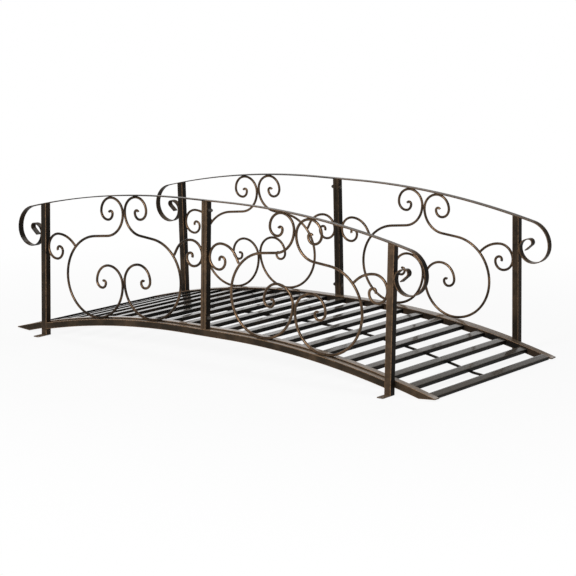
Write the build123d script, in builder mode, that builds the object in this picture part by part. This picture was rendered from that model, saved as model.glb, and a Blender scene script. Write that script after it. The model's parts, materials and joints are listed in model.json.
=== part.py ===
"""Arched garden bridge of coated steel, with a slatted deck and scroll railings.

Millimetres, +Z up. X runs along the bridge, Y across it, and the origin is on the
ground at the bridge's centre. The bridge is four like quarters, two halves that meet at
X = 0 and two railings, so each piece is drawn once on a plane of its own quarter: local
x runs out from the bridge's centre, and local y runs up. The railings lean in a little over
the deck, with the side beams that carry them, so their planes lean too.
"""
import os
from math import asin, cos, degrees, radians, sin, sqrt, tan

from build123d import *

# Whole bridge
post_spacing = 1680.0
deck_length = 2036.0
railing_width = 880.0
railing_lean = 1.84
deck_height = 133.0
handrail_height = 613.0
arch_radius = 3430.0
arch_flat = 105.0

# Posts and their feet
post_size = 27.0
post_corner = 2.0
foot_length = 46.0
foot_width = 28.0
foot_thickness = 3.0
foot_corner = 5.0
foot_hole = 9.0
foot_hole_inset = 14.0

# Arched bars under the railings and along the deck
rail_depth = 26.0
rail_step = 4.0
beam_width = 30.0
beam_depth = 26.0
tip_thickness = 4.0

# Deck slats, counted on one half, and the bar that ties them along the middle
slat_count = 11
slat_width = 32.0
slat_thickness = 15.0
slat_drop = 6.0
slat_inset = 47.0
end_slat_width = 32.0
end_slat_thickness = 12.0
end_slat_setback = 10.0
brace_width = 8.0
brace_depth = 8.0

# Handrail of flat bar, rolled into a scroll at each end
handrail_width = 22.0
handrail_thickness = 4.0
hand_scroll_radius = 90.0
hand_scroll_shares = [(0.78, 90), (0.61, 90), (0.355, 45), (0.5, 45), (0.145, 140)]
hand_tail_share = 0.36

# Scroll rods, drawn with four flat sides, the room left at each weld, and how far the
# pair in each panel stands from the panel's middle, towards the middle post
rod_size = 10.0
weld_gap = 0.15
panel_shift = 4.0

# Radii and turns of the S scroll, as shares of the big loop's inner quarter
neck_turn = 84
neck_share = 0.66
shoulder_share = 1.18
loop_outer_share = 1.14
loop_inner_share = 1.0
upper_curl_shares = [(0.435, 90), (0.385, 90), (0.245, 90), (0.185, 90), (0.07, 150)]
lower_curl_shares = [(0.53, 90), (0.455, 90), (0.2, 90), (0.14, 90), (0.07, 120)]

# Side curls between an S scroll's shoulder and the post: the shoulder angle where one
# starts, how far its leg leans up from square, and its lengths as shares of its widest radius
curl_angle = {"outer": 43, "inner": 41}
curl_lean = {"outer": 0, "inner": 21}
curl_leg_shares = {"outer": 0.19, "inner": 0.45}
curl_rise_shares = {"outer": 2.1, "inner": 1.5}
side_curl_shares = [(1, 90), (0.79, 90), (0.58, 90), (0.32, 90), (0.19, 120)]

# Places worked out from the sizes above
half_span = post_spacing / 2
post_inner_x = half_span - post_size / 2
post_outer_x = half_span + post_size / 2
tip_x = deck_length / 2
lean = radians(railing_lean)
railing_y = railing_width / 2 - post_size / 2 / cos(lean)
beam_y = railing_width / 2 - (post_size + beam_width / 2) / cos(lean)
slat_stop_y = railing_width / 2 - (post_size + beam_width) / cos(lean)
beam_lift = beam_width / 2 * tan(lean)
rail_height = deck_height - rail_step
panel_x = half_span / 2 - panel_shift
rod_reach = rod_size / 2 + weld_gap

sides = {"front": -1, "back": 1}
ends = {"left": -1, "right": 1}


def middle_plane(end):
    """The upright plane along the middle, with local x out towards one end and local y up."""
    return Plane(origin=(0, 0, 0), x_dir=(end, 0, 0), z_dir=(0, -end, 0))


def side_plane(side, end, y):
    """The leaning plane that meets the ground at y on one side, with the same local axes."""
    return Plane(
        origin=(0, side * y, 0), x_dir=(end, 0, 0), z_dir=(0, -end * cos(lean), -end * side * sin(lean)),
    )


def beside(plane):
    """The direction up a leaning plane, which its posts' long edges share."""
    return Axis((0, 0, 0), plane.y_dir)


def arch_y(top, depth, x):
    """The height, at x, of the curve that lies depth below an arch whose crown is at top."""
    run = max(x - arch_flat, 0)
    return top - arch_radius + sqrt((arch_radius - depth) ** 2 - run**2)


def arch_slope(depth, x):
    """The downward angle of that curve, in radians."""
    return asin(max(x - arch_flat, 0) / (arch_radius - depth))


def arch_line(top, depth, x_end):
    """Draws the curve from the crown out to x_end: a straight middle and one arc."""
    x_mid = (arch_flat + x_end) / 2
    crown = (0, top - depth)
    bend = (arch_flat, top - depth)
    Line(crown, bend)
    ThreePointArc(bend, (x_mid, arch_y(top, depth, x_mid)), (x_end, arch_y(top, depth, x_end)))


def follow(at, along, steps):
    """Draws tangent arcs, or straight runs where the turn is zero, one after another."""
    for size, turn in steps:
        if turn:
            piece = JernArc(at, along, size, turn)
        else:
            piece = Line(at, at + along * size)
        at = piece @ 1
        along = piece % 1


def heading(plane, angle):
    """The direction, in space, at an angle in degrees from a plane's local x."""
    return plane.x_dir * cos(radians(angle)) + plane.y_dir * sin(radians(angle))


def scaled(shares, size, sign):
    """Radii and turns for a table of shares, turning left where sign is positive."""
    return [(share * size, sign * turn) for share, turn in shares]


def bend_rod(plane, wire):
    """Sweeps the rod's section along a path on a quarter's plane."""
    with BuildSketch(Plane(origin=wire @ 0, x_dir=plane.z_dir, z_dir=wire % 0)) as section:
        Rectangle(rod_size, rod_size)
    sweep(section.sketch, path=wire)


def build_side_beam(side, end):
    """One half of a deck side beam, from the middle to its pointed tip.

    It leans with the railing, and is lifted so that its lowest edge is on the ground.
    """
    drop = arch_radius - deck_height
    ground_x = arch_flat + sqrt((arch_radius - beam_depth) ** 2 - drop**2)
    tip_y = arch_y(deck_height, 0, tip_x)
    plane = side_plane(side, end, beam_y)
    plane.origin += plane.y_dir * beam_lift
    with BuildPart() as beam:
        with BuildSketch(plane):
            with BuildLine():
                arch_line(deck_height, 0, tip_x)
                Polyline((tip_x, tip_y), (tip_x, tip_y - tip_thickness), (ground_x, 0))
                arch_line(deck_height, beam_depth, ground_x)
                Line((0, deck_height - beam_depth), (0, deck_height))
            make_face()
        extrude(amount=beam_width / 2, both=True)
    return beam


def build_slats(end):
    """The slats of one half, sunk between the beams and cut to them, with a thin one at the tips."""
    end_slat_x = tip_x - end_slat_setback - end_slat_width / 2
    pitch = (end_slat_x - slat_inset) / (slat_count - 1)
    with BuildPart() as slats:
        with BuildSketch(middle_plane(end)):
            for number in range(slat_count):
                x = slat_inset + number * pitch
                last = number == slat_count - 1
                width = end_slat_width if last else slat_width
                thickness = end_slat_thickness if last else slat_thickness
                drop = 0 if last else slat_drop
                place = Location((x, arch_y(deck_height, drop, x)), -degrees(arch_slope(drop, x)))
                with Locations(place):
                    Rectangle(width, thickness, align=(Align.CENTER, Align.MAX))
        extrude(amount=slat_stop_y, both=True)
        for side in sides.values():
            beam_face = Plane(origin=(0, side * slat_stop_y, 0), z_dir=(0, side * cos(lean), sin(lean)))
            split(bisect_by=beam_face, keep=Keep.BOTTOM)
    return slats


def build_brace(end):
    """The thin bar under the slats along the middle, up to the underside of the end slat."""
    end_slat_x = tip_x - end_slat_setback - end_slat_width / 2
    pitch = (end_slat_x - slat_inset) / (slat_count - 1)
    last_x = end_slat_x - pitch + slat_width / 2
    underside = slat_drop + slat_thickness
    last_y = arch_y(deck_height, underside, last_x)
    stop_x = end_slat_x - end_slat_width / 2
    stop_y = arch_y(deck_height, end_slat_thickness, stop_x)
    with BuildPart() as brace:
        with BuildSketch(middle_plane(end)):
            with BuildLine():
                arch_line(deck_height, underside, last_x)
                Polyline((last_x, last_y), (stop_x, stop_y), (stop_x, stop_y - brace_depth))
                Line((stop_x, stop_y - brace_depth), (last_x, last_y - brace_depth))
                arch_line(deck_height - brace_depth, underside, last_x)
                Line((0, deck_height - underside - brace_depth), (0, deck_height - underside))
            make_face()
        extrude(amount=brace_width / 2, both=True)
    return brace


def build_bottom_rail(side, end):
    """One half of a bottom rail, outside the deck beam, from the middle to the end post."""
    with BuildPart() as rail:
        with BuildSketch(side_plane(side, end, railing_y)):
            with BuildLine():
                arch_line(rail_height, 0, post_inner_x)
                Line(
                    (post_inner_x, arch_y(rail_height, 0, post_inner_x)),
                    (post_inner_x, arch_y(rail_height, rail_depth, post_inner_x)),
                )
                arch_line(rail_height, rail_depth, post_inner_x)
                Line((0, rail_height - rail_depth), (0, rail_height))
            make_face()
        extrude(amount=post_size / 2, both=True)
    return rail


def build_end_post(side, end):
    """A square post from the ground to the underside of the handrail, cut to its slope."""
    below = -post_size * tan(lean)
    inner_top = arch_y(handrail_height, handrail_thickness, post_inner_x)
    outer_top = arch_y(handrail_height, handrail_thickness, post_outer_x)
    plane = side_plane(side, end, railing_y)
    with BuildPart() as post:
        with BuildSketch(plane):
            Polygon(
                (post_inner_x, below), (post_outer_x, below),
                (post_outer_x, outer_top), (post_inner_x, inner_top),
                align=None,
            )
        extrude(amount=post_size / 2, both=True)
        fillet(post.edges().filter_by(beside(plane)), post_corner)
        split(bisect_by=Plane.XY, keep=Keep.TOP)
    return post


def build_mid_post(side, end):
    """One half of a middle post, split on the joint between the bridge's halves."""
    post_top = handrail_height - handrail_thickness
    plane = side_plane(side, end, railing_y)
    with BuildPart() as post:
        with BuildSketch(plane):
            Polygon(
                (0, rail_height), (post_size / 2, rail_height), (post_size / 2, post_top), (0, post_top),
                align=None,
            )
        extrude(amount=post_size / 2, both=True)
        outward = Axis((0, 0, 0), (end, 0, 0))
        fillet(post.edges().filter_by(beside(plane)).group_by(outward)[-1], post_corner)
    return post


def build_foot(side, end):
    """The thin tab at a post's foot, with a hole for a ground anchor."""
    post_face = side * railing_width / 2
    plane = Plane(origin=(end * half_span, post_face, 0), x_dir=(side, 0, 0), z_dir=(0, 0, 1))
    with BuildPart() as foot:
        with BuildSketch(plane) as tab:
            Rectangle(foot_width, foot_length, align=(Align.CENTER, Align.MIN))
            fillet(tab.vertices().group_by(Axis.Y)[-1], foot_corner)
            with Locations((0, foot_length - foot_hole_inset)):
                Circle(foot_hole / 2, mode=Mode.SUBTRACT)
        extrude(amount=foot_thickness)
    return foot


def hand_scroll_start():
    """Where the handrail leaves the arch, so that its scroll comes back to the post."""
    inner_x = post_outer_x + handrail_thickness / 2 + weld_gap
    (second, _), (third, _) = hand_scroll_shares[:2]
    centre_depth = handrail_thickness / 2
    start_x = post_outer_x
    for _ in range(12):
        reach = 1 - sin(arch_slope(centre_depth, start_x))
        start_x = inner_x + hand_scroll_radius * (second + third - reach)
    return start_x


def build_handrail(side, end):
    """One half of a handrail: flat bar over the arch, rolled into a scroll past the post."""
    plane = side_plane(side, end, railing_y)
    centre_depth = handrail_thickness / 2
    start_x = hand_scroll_start()
    slope = degrees(arch_slope(centre_depth, start_x))
    turns = [(hand_scroll_radius, slope - 90)]
    turns += scaled(hand_scroll_shares, hand_scroll_radius, -1)
    turns += [(hand_scroll_radius * hand_tail_share, 0)]
    with BuildPart() as rail:
        with BuildLine(plane) as path:
            arch_line(handrail_height, centre_depth, start_x)
            start = plane.from_local_coords((start_x, arch_y(handrail_height, centre_depth, start_x), 0))
            follow(start, heading(plane, -slope), turns)
        wire = path.wire()
        with BuildSketch(Plane(origin=wire @ 0, x_dir=plane.z_dir, z_dir=wire % 0)):
            Rectangle(handrail_width, handrail_thickness)
        sweep(path=wire)
    return rail


def scroll_run_share():
    """The straight run below an S scroll's neck that brings its big loop back to its twin."""
    turn = radians(neck_turn)
    spare = loop_inner_share + loop_outer_share - (neck_share + shoulder_share) * (1 - cos(turn))
    return spare / sin(turn)


def shoulder_drop_share():
    """How far the centre of an S scroll's shoulder lies below its upper touch."""
    turn = radians(neck_turn)
    return (neck_share + shoulder_share) * sin(turn) + scroll_run_share() * cos(turn)


def fit_scroll(hand):
    """The loop radius and upper touch height that seat an S scroll on both rails.

    On the falling arch an outer scroll touches past the top of its upper curl and before
    the bottom of its loop, and an inner scroll does so the other way round.
    """
    first, second = upper_curl_shares[0][0], upper_curl_shares[1][0]
    drop = shoulder_drop_share()
    if hand > 0:
        top_share, top_lift = second, first - second
        foot_share, foot_drop = loop_inner_share, drop + loop_outer_share - loop_inner_share
    else:
        top_share, top_lift = first, 0
        foot_share, foot_drop = loop_outer_share, drop
    radius = (handrail_height - rail_height) / (drop + loop_outer_share + first)
    for _ in range(12):
        top_run = panel_x + hand * (rod_reach + first * radius) - arch_flat
        foot_run = panel_x + hand * (rod_reach + loop_inner_share * radius) - arch_flat
        foot_reach = arch_radius + foot_share * radius + rod_reach
        top_reach = arch_radius - handrail_thickness - top_share * radius - rod_reach
        foot_centre = rail_height - arch_radius + sqrt(foot_reach**2 - foot_run**2)
        top_centre = handrail_height - arch_radius + sqrt(top_reach**2 - top_run**2)
        spare = top_centre - foot_centre - (top_lift + foot_drop) * radius
        radius += spare / (top_share + top_lift + foot_drop + foot_share)
    return radius, foot_centre + foot_drop * radius


def build_scrolls(side, end):
    """The pair of S scrolls in one panel, back to back on its centre line."""
    plane = side_plane(side, end, railing_y)
    with BuildPart() as scrolls:
        for hand in (1, -1):
            radius, touch_y = fit_scroll(hand)
            touch = plane.from_local_coords((panel_x + hand * rod_reach, touch_y, 0))
            down = [(neck_share * radius, hand * neck_turn), (scroll_run_share() * radius, 0)]
            down += scaled([(shoulder_share, neck_turn)], radius, -hand)
            down += scaled([(loop_outer_share, 90), (loop_inner_share, 90)], radius, -hand)
            down += scaled(lower_curl_shares, radius, -hand)
            with BuildLine(plane) as path:
                follow(touch, -plane.y_dir, down)
                follow(touch, plane.y_dir, scaled(upper_curl_shares, radius, -hand))
            bend_rod(plane, path.wire())
    return scrolls


def build_side_curls(side, end):
    """The two small curls of one panel, each from an S scroll's shoulder to the post."""
    plane = side_plane(side, end, railing_y)
    with BuildPart() as curls:
        for name, hand in (("outer", 1), ("inner", -1)):
            radius, touch_y = fit_scroll(hand)
            post_x = half_span if hand > 0 else 0
            post_gap = abs(post_x - panel_x) - post_size / 2 - rod_reach
            angle = radians(curl_angle[name])
            rise = curl_angle[name] + curl_lean[name]
            standoff = rod_size / 2 * (1 + sin(radians(curl_lean[name]))) + weld_gap
            arm = shoulder_share * radius + standoff
            out = rod_reach + (loop_inner_share + loop_outer_share - shoulder_share) * radius
            start_out = out + arm * cos(angle)
            start_y = touch_y - shoulder_drop_share() * radius + arm * sin(angle)
            leg_share, rise_share = curl_leg_shares[name], curl_rise_shares[name]
            reach = leg_share * cos(radians(rise)) + rise_share * sin(radians(rise)) + side_curl_shares[0][0]
            size = (post_gap - start_out) / reach
            steps = [(leg_share * size, 0)]
            steps += scaled([(rise_share, rise)] + side_curl_shares, size, -hand)
            with BuildLine(plane) as path:
                start = plane.from_local_coords((panel_x + hand * start_out, start_y, 0))
                follow(start, heading(plane, rise if hand > 0 else 180 - rise), steps)
            bend_rod(plane, path.wire())
    return curls


def save(builder, name):
    """Labels a finished piece and writes it under its name."""
    builder.part.label = name
    export_step(builder.part, f"parts/{name}.step")


os.makedirs("parts", exist_ok=True)
for end_name, end in ends.items():
    save(build_slats(end), f"{end_name}_deck_slats")
    save(build_brace(end), f"{end_name}_deck_brace")
    for side_name, side in sides.items():
        quarter = f"{side_name}_{end_name}"
        save(build_side_beam(side, end), f"{quarter}_side_beam")
        save(build_bottom_rail(side, end), f"{quarter}_bottom_rail")
        save(build_end_post(side, end), f"{quarter}_end_post")
        save(build_mid_post(side, end), f"{quarter}_mid_post")
        save(build_foot(side, end), f"{quarter}_foot")
        save(build_handrail(side, end), f"{quarter}_handrail")
        save(build_scrolls(side, end), f"{quarter}_scrolls")
        save(build_side_curls(side, end), f"{quarter}_side_curls")
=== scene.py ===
"""Dresses the garden bridge: soft-edged tubes, round scroll rods, slats, bolts and welds."""
import json
from math import asin, ceil, cos, degrees, pi, radians, sin, sqrt, tan

import bpy
import numpy as np
from mathutils import Matrix, Vector

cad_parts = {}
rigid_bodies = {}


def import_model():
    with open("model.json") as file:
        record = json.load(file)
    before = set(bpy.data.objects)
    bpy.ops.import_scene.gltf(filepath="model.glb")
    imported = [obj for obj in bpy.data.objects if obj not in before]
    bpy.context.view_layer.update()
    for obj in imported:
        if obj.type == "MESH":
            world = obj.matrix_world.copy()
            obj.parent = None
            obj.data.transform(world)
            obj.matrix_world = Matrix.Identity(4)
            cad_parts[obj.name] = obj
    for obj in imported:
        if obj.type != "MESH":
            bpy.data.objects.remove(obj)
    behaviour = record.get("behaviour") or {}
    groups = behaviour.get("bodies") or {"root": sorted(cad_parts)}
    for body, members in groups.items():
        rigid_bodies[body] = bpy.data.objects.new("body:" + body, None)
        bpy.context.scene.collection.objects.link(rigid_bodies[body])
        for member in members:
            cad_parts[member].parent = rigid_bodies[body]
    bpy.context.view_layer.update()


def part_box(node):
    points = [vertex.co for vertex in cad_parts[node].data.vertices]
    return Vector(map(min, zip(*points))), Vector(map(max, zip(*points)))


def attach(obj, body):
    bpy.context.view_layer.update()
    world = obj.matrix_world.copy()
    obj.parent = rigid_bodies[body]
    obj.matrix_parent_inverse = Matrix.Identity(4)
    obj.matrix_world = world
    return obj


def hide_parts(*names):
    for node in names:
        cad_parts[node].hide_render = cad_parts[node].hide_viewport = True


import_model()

bl_info = {
    "name": "Garden Bridge",
    "version": (1, 0, 0),
    "blender": (4, 5, 0),
    "location": "3D View > Sidebar > Bridge",
    "description": "Builds the looks of an arched garden bridge around its packed solids",
    "category": "Add Mesh",
}

MM = 0.001

SIDES = {"front": -1, "back": 1}
ENDS = {"left": -1, "right": 1}
HANDS = {"outer": 1, "inner": -1}

post_low, post_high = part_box("front_right_end_post")
_, beam_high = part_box("front_right_side_beam")
brace_low, brace_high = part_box("right_deck_brace")
POST_SIZE = post_high.x - post_low.x
POST_MIDDLE = (post_low.x + post_high.x) / 2

# Radii and turns of the S scroll, as shares of the big loop's inner quarter
NECK_TURN = 84
NECK_SHARE = 0.66
SHOULDER_SHARE = 1.18
LOOP_OUTER_SHARE = 1.14
LOOP_INNER_SHARE = 1.0
UPPER_CURL_SHARES = [(0.435, 90), (0.385, 90), (0.245, 90), (0.185, 90), (0.07, 150)]
LOWER_CURL_SHARES = [(0.53, 90), (0.455, 90), (0.2, 90), (0.14, 90), (0.07, 120)]

# Side curls: the shoulder angle where one starts, its lean, and shares of its widest radius
CURL_ANGLE = {"outer": 43, "inner": 41}
CURL_LEAN = {"outer": 0, "inner": 21}
CURL_LEG_SHARES = {"outer": 0.19, "inner": 0.45}
CURL_RISE_SHARES = {"outer": 2.1, "inner": 1.5}
SIDE_CURL_SHARES = [(1, 90), (0.79, 90), (0.58, 90), (0.32, 90), (0.19, 120)]

# Handrail scroll, as shares of its first radius
HAND_SCROLL_SHARES = [(0.78, 90), (0.61, 90), (0.355, 45), (0.5, 45), (0.145, 140)]
HAND_TAIL_SHARE = 0.36

# Posts and rails
POST_HEIGHT_SHARES = (0, 0.3, 0.6, 1)
POST_TOP_SHARE = 0.9
RAIL_EDGE_SHARE = 0.8
ROUND_LIMIT_SHARE = 0.98

# Cap nuts, as shares of the bolt's diameter
WASHER_RADIUS_SHARE = 0.95
WASHER_DEPTH_SHARE = 0.2
NUT_RADIUS_SHARE = 0.86
CROWN_RADIUS_SHARE = 0.74
CROWN_DEPTH_SHARE = 0.1
DOME_RADIUS_SHARE = 0.7

# Weld beads: the flattened ball, then the least and the most that each one is scaled by
BEAD_SHARES = (1.0, 0.75, 0.6)
BEAD_LEAST_SHARES = (0.85, 0.85, 0.85)
BEAD_MOST_SHARES = (1.2, 1.1, 1.15)
BEAD_SEED = 4
LUMP_SCALE = 420.0

# Steps along curves: degrees on arcs, metres on straight runs and on the arch
ROD_ARC_STEP = 5
ROD_LINE_STEP = 6 * MM
CURL_ARC_STEP = 6
CURL_LINE_STEP = 5 * MM
BAR_ARC_STEP = 4
BAR_LINE_STEP = 6 * MM
ARCH_STEP = 30 * MM
BRACE_STEP = 40 * MM
TIP_STEPS = 6
FIT_ROUNDS = 12

# Sides and steps of round shapes
ROD_SIDES = 12
EDGE_STEPS = 3
SLAT_CUTS = 5
CORNER_STEPS = 8
HOLE_STEPS = 32
BEVEL_STEPS = 2
WASHER_SIDES = 24
NUT_SIDES = 6
DOME_SIDES, DOME_RINGS = 16, 10
BEAD_SIDES, BEAD_RINGS = 12, 8

# Angles, in degrees, past which an edge is shaded sharp
ROD_SHARP = 50
EDGE_SHARP = 30
BEAD_SHARP = 80

# Coats: how strokes vary the rub and the gloss, how much painted sheen adds rubbed bronze to a face, and the
# painted highlight on upper faces
STROKE_RANGE = (0.3, 0.7)
STROKE_RUB = (0.55, 1.25)
PAINTED_SHEEN_RUB = 0.1
TOP_LEAST_SHARE = 0.8
TOP_ROUGHNESS = 0.12
GRAIN_HEIGHT = 0.15 * MM


def length(name, text, default):
    """A length property in metres."""
    return bpy.props.FloatProperty(
        name=name, description=text, default=default, min=0, precision=5, unit="LENGTH",
    )


def position(name, text, default):
    """A place property in metres."""
    return bpy.props.FloatVectorProperty(
        name=name, description=text, default=default, size=3, precision=4, subtype="TRANSLATION",
    )


def bearing(name, text, default):
    """An angle property in radians."""
    return bpy.props.FloatProperty(name=name, description=text, default=default, subtype="ANGLE")


def quantity(name, text, default):
    """A plain number property."""
    return bpy.props.FloatProperty(name=name, description=text, default=default, min=0)


def colour(name, text, default):
    """A colour property, linear."""
    return bpy.props.FloatVectorProperty(
        name=name, description=text, default=default, size=3, min=0, max=1, subtype="COLOR",
    )


class BridgeSizes(bpy.types.PropertyGroup):
    """Sizes of the finer shapes, with the places of the main ones read from the frame."""
    railing_reach: length("Railing reach", "From the middle to the outer faces of the posts' feet", 440 * MM)
    railing_lean: bearing("Railing lean", "How far the railings lean in over the deck", radians(1.84))
    handrail_height: length("Handrail height", "Up the lean, from ground to handrail crown", 613 * MM)
    rail_height: length("Bottom rail height", "Up the lean, from ground to rail crown", 129 * MM)
    deck_height: length("Deck height", "From the ground to the deck's crown", 133 * MM)
    arch_radius: length("Arch radius", "Radius that all the long bars follow", 3.43)
    arch_flat: length("Straight middle", "Half length of the straight middle of each bar", 0.105)
    tube_edge: length("Tube edge", "Outside radius of the square tubes' corners", 2 * MM)
    slat_edge: length("Slat edge", "Radius of the slats' corners", 1.6 * MM)
    slat_count: bpy.props.IntProperty(
        name="Slats", description="Slats in each half, with the thin one", default=11, min=2,
    )
    slat_face: length("Slat face", "How near a slat's face its points still count as on it", 0.1 * MM)
    slat_width: length("Slat width", "Width of a deck slat", 32 * MM)
    slat_depth: length("Slat depth", "Thickness of a deck slat", 15 * MM)
    slat_inset: length("First slat", "From the middle of the bridge to the first slat's middle", 47 * MM)
    slat_drop: length("Slat drop", "From the tops of the side beams down to the slats", 6 * MM)
    end_slat_width: length("End slat width", "Width of the thin slat at the tips", 32 * MM)
    end_slat_depth: length("End slat depth", "Thickness of the thin slat at the tips", 12 * MM)
    end_slat_setback: length("End slat setback", "From the tips to the end slat", 10 * MM)
    brace_depth: length("Brace depth", "Depth of the bar under the slats", 8 * MM)
    brace_edge: length("Brace edge", "Radius of the brace bar's corners", 0.8 * MM)
    beam_width: length("Beam width", "Width of a deck side beam", 30 * MM)
    beam_depth: length("Beam depth", "Depth of a deck side beam", 26 * MM)
    tip_depth: length("Tip depth", "Thickness of a side beam at its tip", 4 * MM)
    rail_depth: length("Rail depth", "Depth of a bottom rail", 26 * MM)
    handrail_width: length("Handrail width", "Width of the handrail's flat bar", 25 * MM)
    handrail_depth: length("Handrail thickness", "Thickness of the handrail's flat bar", 4 * MM)
    handrail_sink: length("Handrail sink", "Keeps the bar's high edge inside the solids' box", 0.03 * MM)
    handrail_edge: length("Handrail edge", "Radius of the flat bar's corners", 1.1 * MM)
    hand_scroll_radius: length("Handrail scroll", "First radius of the rolled end", 90 * MM)
    panel_shift: length("Panel shift", "From a panel's middle in to its scrolls", 4 * MM)
    rod_size: length("Rod diameter", "Diameter of the scroll rods", 10 * MM)
    weld_gap: length("Weld gap", "Room left between pieces at a weld", 0.15 * MM)
    weld_size: length("Weld bead", "Length of a weld bead", 7 * MM)
    weld_lump: length("Weld lumps", "How far a bead's lumps rise and sink", 0.8 * MM)
    foot_corner: length("Foot corner", "Radius of a foot tab's outer corners", 5 * MM)
    foot_hole: length("Foot hole", "Diameter of a foot tab's hole", 9 * MM)
    foot_hole_inset: length("Foot hole inset", "From a tab's outer edge to its hole", 14 * MM)
    foot_edge: length("Foot edge", "Radius of a foot tab's edges", 0.5 * MM)
    foot_wear: length("Foot wear", "Distance from an edge that a whole tab is rubbed as", 4 * MM)
    bolt_size: length("Bolt diameter", "Diameter of the bolts through the middle posts", 9 * MM)
    bolt_low: length("Lower bolt", "From the bottom rail's top to the lower bolt", 43 * MM)
    bolt_high: length("Upper bolt", "From the middle post's top to the upper bolt", 33 * MM)
    nut_body: length("Nut body", "Height of a nut's six-sided body", 8 * MM)
    nut_dome: length("Nut dome", "Height of a nut's domed cap", 7 * MM)
    head_body: length("Head body", "Height of a bolt head's six-sided body", 1.4 * MM)
    head_dome: length("Head dome", "Height of a bolt head's dome", 1.2 * MM)


class BridgeFinish(bpy.types.PropertyGroup):
    """Colours of the coats."""
    dark: colour("Dark coat", "The coat on the flats of the tubes", (0.023, 0.0175, 0.0122))
    rub: colour("Rubbed bronze", "The bronze that shows where the coat is rubbed", (0.36, 0.22, 0.125))
    rod: colour("Rod coat", "The coat on the scroll rods", (0.024, 0.0168, 0.0114))
    bar: colour("Flat bar coat", "The coat on the handrails' flat bars", (0.0135, 0.0112, 0.0088))
    slat: colour("Slat coat", "The coat on the deck slats", (0.0095, 0.0085, 0.0075))
    # Painted highlight: a lighter colour on the slats' upper faces, where the light falls
    slat_top_highlight: colour("Painted slat highlight", "Painted highlight colour on the slats' upper faces, under a smoother coat", (0.088, 0.077, 0.065))
    # Painted highlight: a lighter colour on the upper faces of the tubes, foot tabs and flat bars
    painted_sheen: colour("Painted top highlight", "Painted highlight colour on the bars' upper faces, under a smoother coat", (0.19, 0.137, 0.095))
    zinc: colour("Bolt coat", "The coat on the bolts and nuts", (0.03, 0.028, 0.026))
    floor: colour("Floor", "The pale floor under the bridge", (0.7, 0.7, 0.7))


class BridgeStage(bpy.types.PropertyGroup):
    """The lamps, the studio's glow, the floor and the camera."""
    key_place: position("Key lamp", "Place of the lamp in front", (0.6, -6.2, 3.4))
    key_size: length("Key lamp size", "Side of the key lamp's square", 2.0)
    key_power: quantity("Key lamp power", "Power in watts", 430)
    top_place: position("Top lamp", "Place of the lamp above", (-0.6, 2.4, 5.2))
    top_size: length("Top lamp size", "Side of the top lamp's square", 4.0)
    top_power: quantity("Top lamp power", "Power in watts", 150)
    lamp_aim: position("Lamp aim", "Point that both lamps face", (0, 0, 0.3))
    fill: quantity("Fill", "Strength of the studio's even light", 0.14)
    wall_glow: quantity("Wall glow", "Strength of the walls where they are seen", 1.0)
    wall_top: bearing("Wall top", "Elevation where the bright walls end", radians(22))
    ceiling_start: bearing("Ceiling start", "Elevation where the dim ceiling begins", radians(28))
    ceiling_glow: quantity("Ceiling glow", "Strength of the ceiling where it is seen", 0.06)
    floor_reach: length("Floor reach", "From the middle to the floor's edges", 30)
    floor_roughness: quantity("Floor roughness", "Roughness of the floor", 0.9)
    floor_glow: quantity("Floor glow", "Share of pure white in the floor near the bridge", 0.9)
    glow_start: length("Glow start", "From the middle to where the floor begins to whiten", 1.2)
    glow_full: length("Glow full", "From the middle to where the floor is pure white", 2.6)
    camera_place: position("Camera", "Place of the camera", (4.3545, -5.4926, 1.5286))
    camera_turn: bearing("Camera turn", "Turn about the upright", 0.6633)
    camera_tilt: bearing("Camera tilt", "Tilt down from level", 0.1845)
    camera_roll: bearing("Camera roll", "Roll about the line of sight", -0.004)
    camera_lens: quantity("Focal length", "In millimetres", 114.1)
    camera_sensor: quantity("Sensor width", "In millimetres", 36)
    camera_range: length("Camera range", "The farthest that the camera sees", 100)


def sizes():
    return bpy.context.scene.bridge_sizes


def finish():
    return bpy.context.scene.bridge_finish


def studio():
    return bpy.context.scene.bridge_stage


# Curves that the long bars follow, in the plane of one quarter: u runs out, z runs up

def arch_z(top, depth, u):
    """The height, at u, of the curve that lies depth below an arch whose crown is at top."""
    run = max(u - sizes().arch_flat, 0)
    return top - sizes().arch_radius + sqrt((sizes().arch_radius - depth) ** 2 - run**2)


def arch_slope(depth, u):
    """The downward angle of that curve, in radians."""
    return asin(max(u - sizes().arch_flat, 0) / (sizes().arch_radius - depth))


def arch_path(top, depth, stop, step):
    """Points and downward slopes along the curve from the middle out to stop."""
    flat = min(sizes().arch_flat, stop)
    count = max(ceil((stop - flat) / step), 1)
    places = [0.0] + [flat + (stop - flat) * number / count for number in range(count + 1)]
    return [(u, arch_z(top, depth, u), arch_slope(depth, u)) for u in places]


def walk(at, angle, turns, arc_step, line_step):
    """Points and headings along tangent arcs, or straight runs where the turn is zero."""
    u, z = at
    points = [(u, z, angle)]
    for size, turn in turns:
        if turn:
            count = max(ceil(abs(turn) / arc_step), 1)
            swing = radians(turn) / count
            chord = 2 * size * sin(abs(swing) / 2)
            for _ in range(count):
                u += chord * cos(angle + swing / 2)
                z += chord * sin(angle + swing / 2)
                angle += swing
                points.append((u, z, angle))
        else:
            count = max(ceil(size / line_step), 1)
            for _ in range(count):
                u += size / count * cos(angle)
                z += size / count * sin(angle)
                points.append((u, z, angle))
    return points


def scaled(shares, size, sign):
    return [(share * size, sign * turn) for share, turn in shares]


def rod_reach():
    return sizes().rod_size / 2 + sizes().weld_gap


def panel_middle():
    return POST_MIDDLE / 2 - sizes().panel_shift


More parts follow.
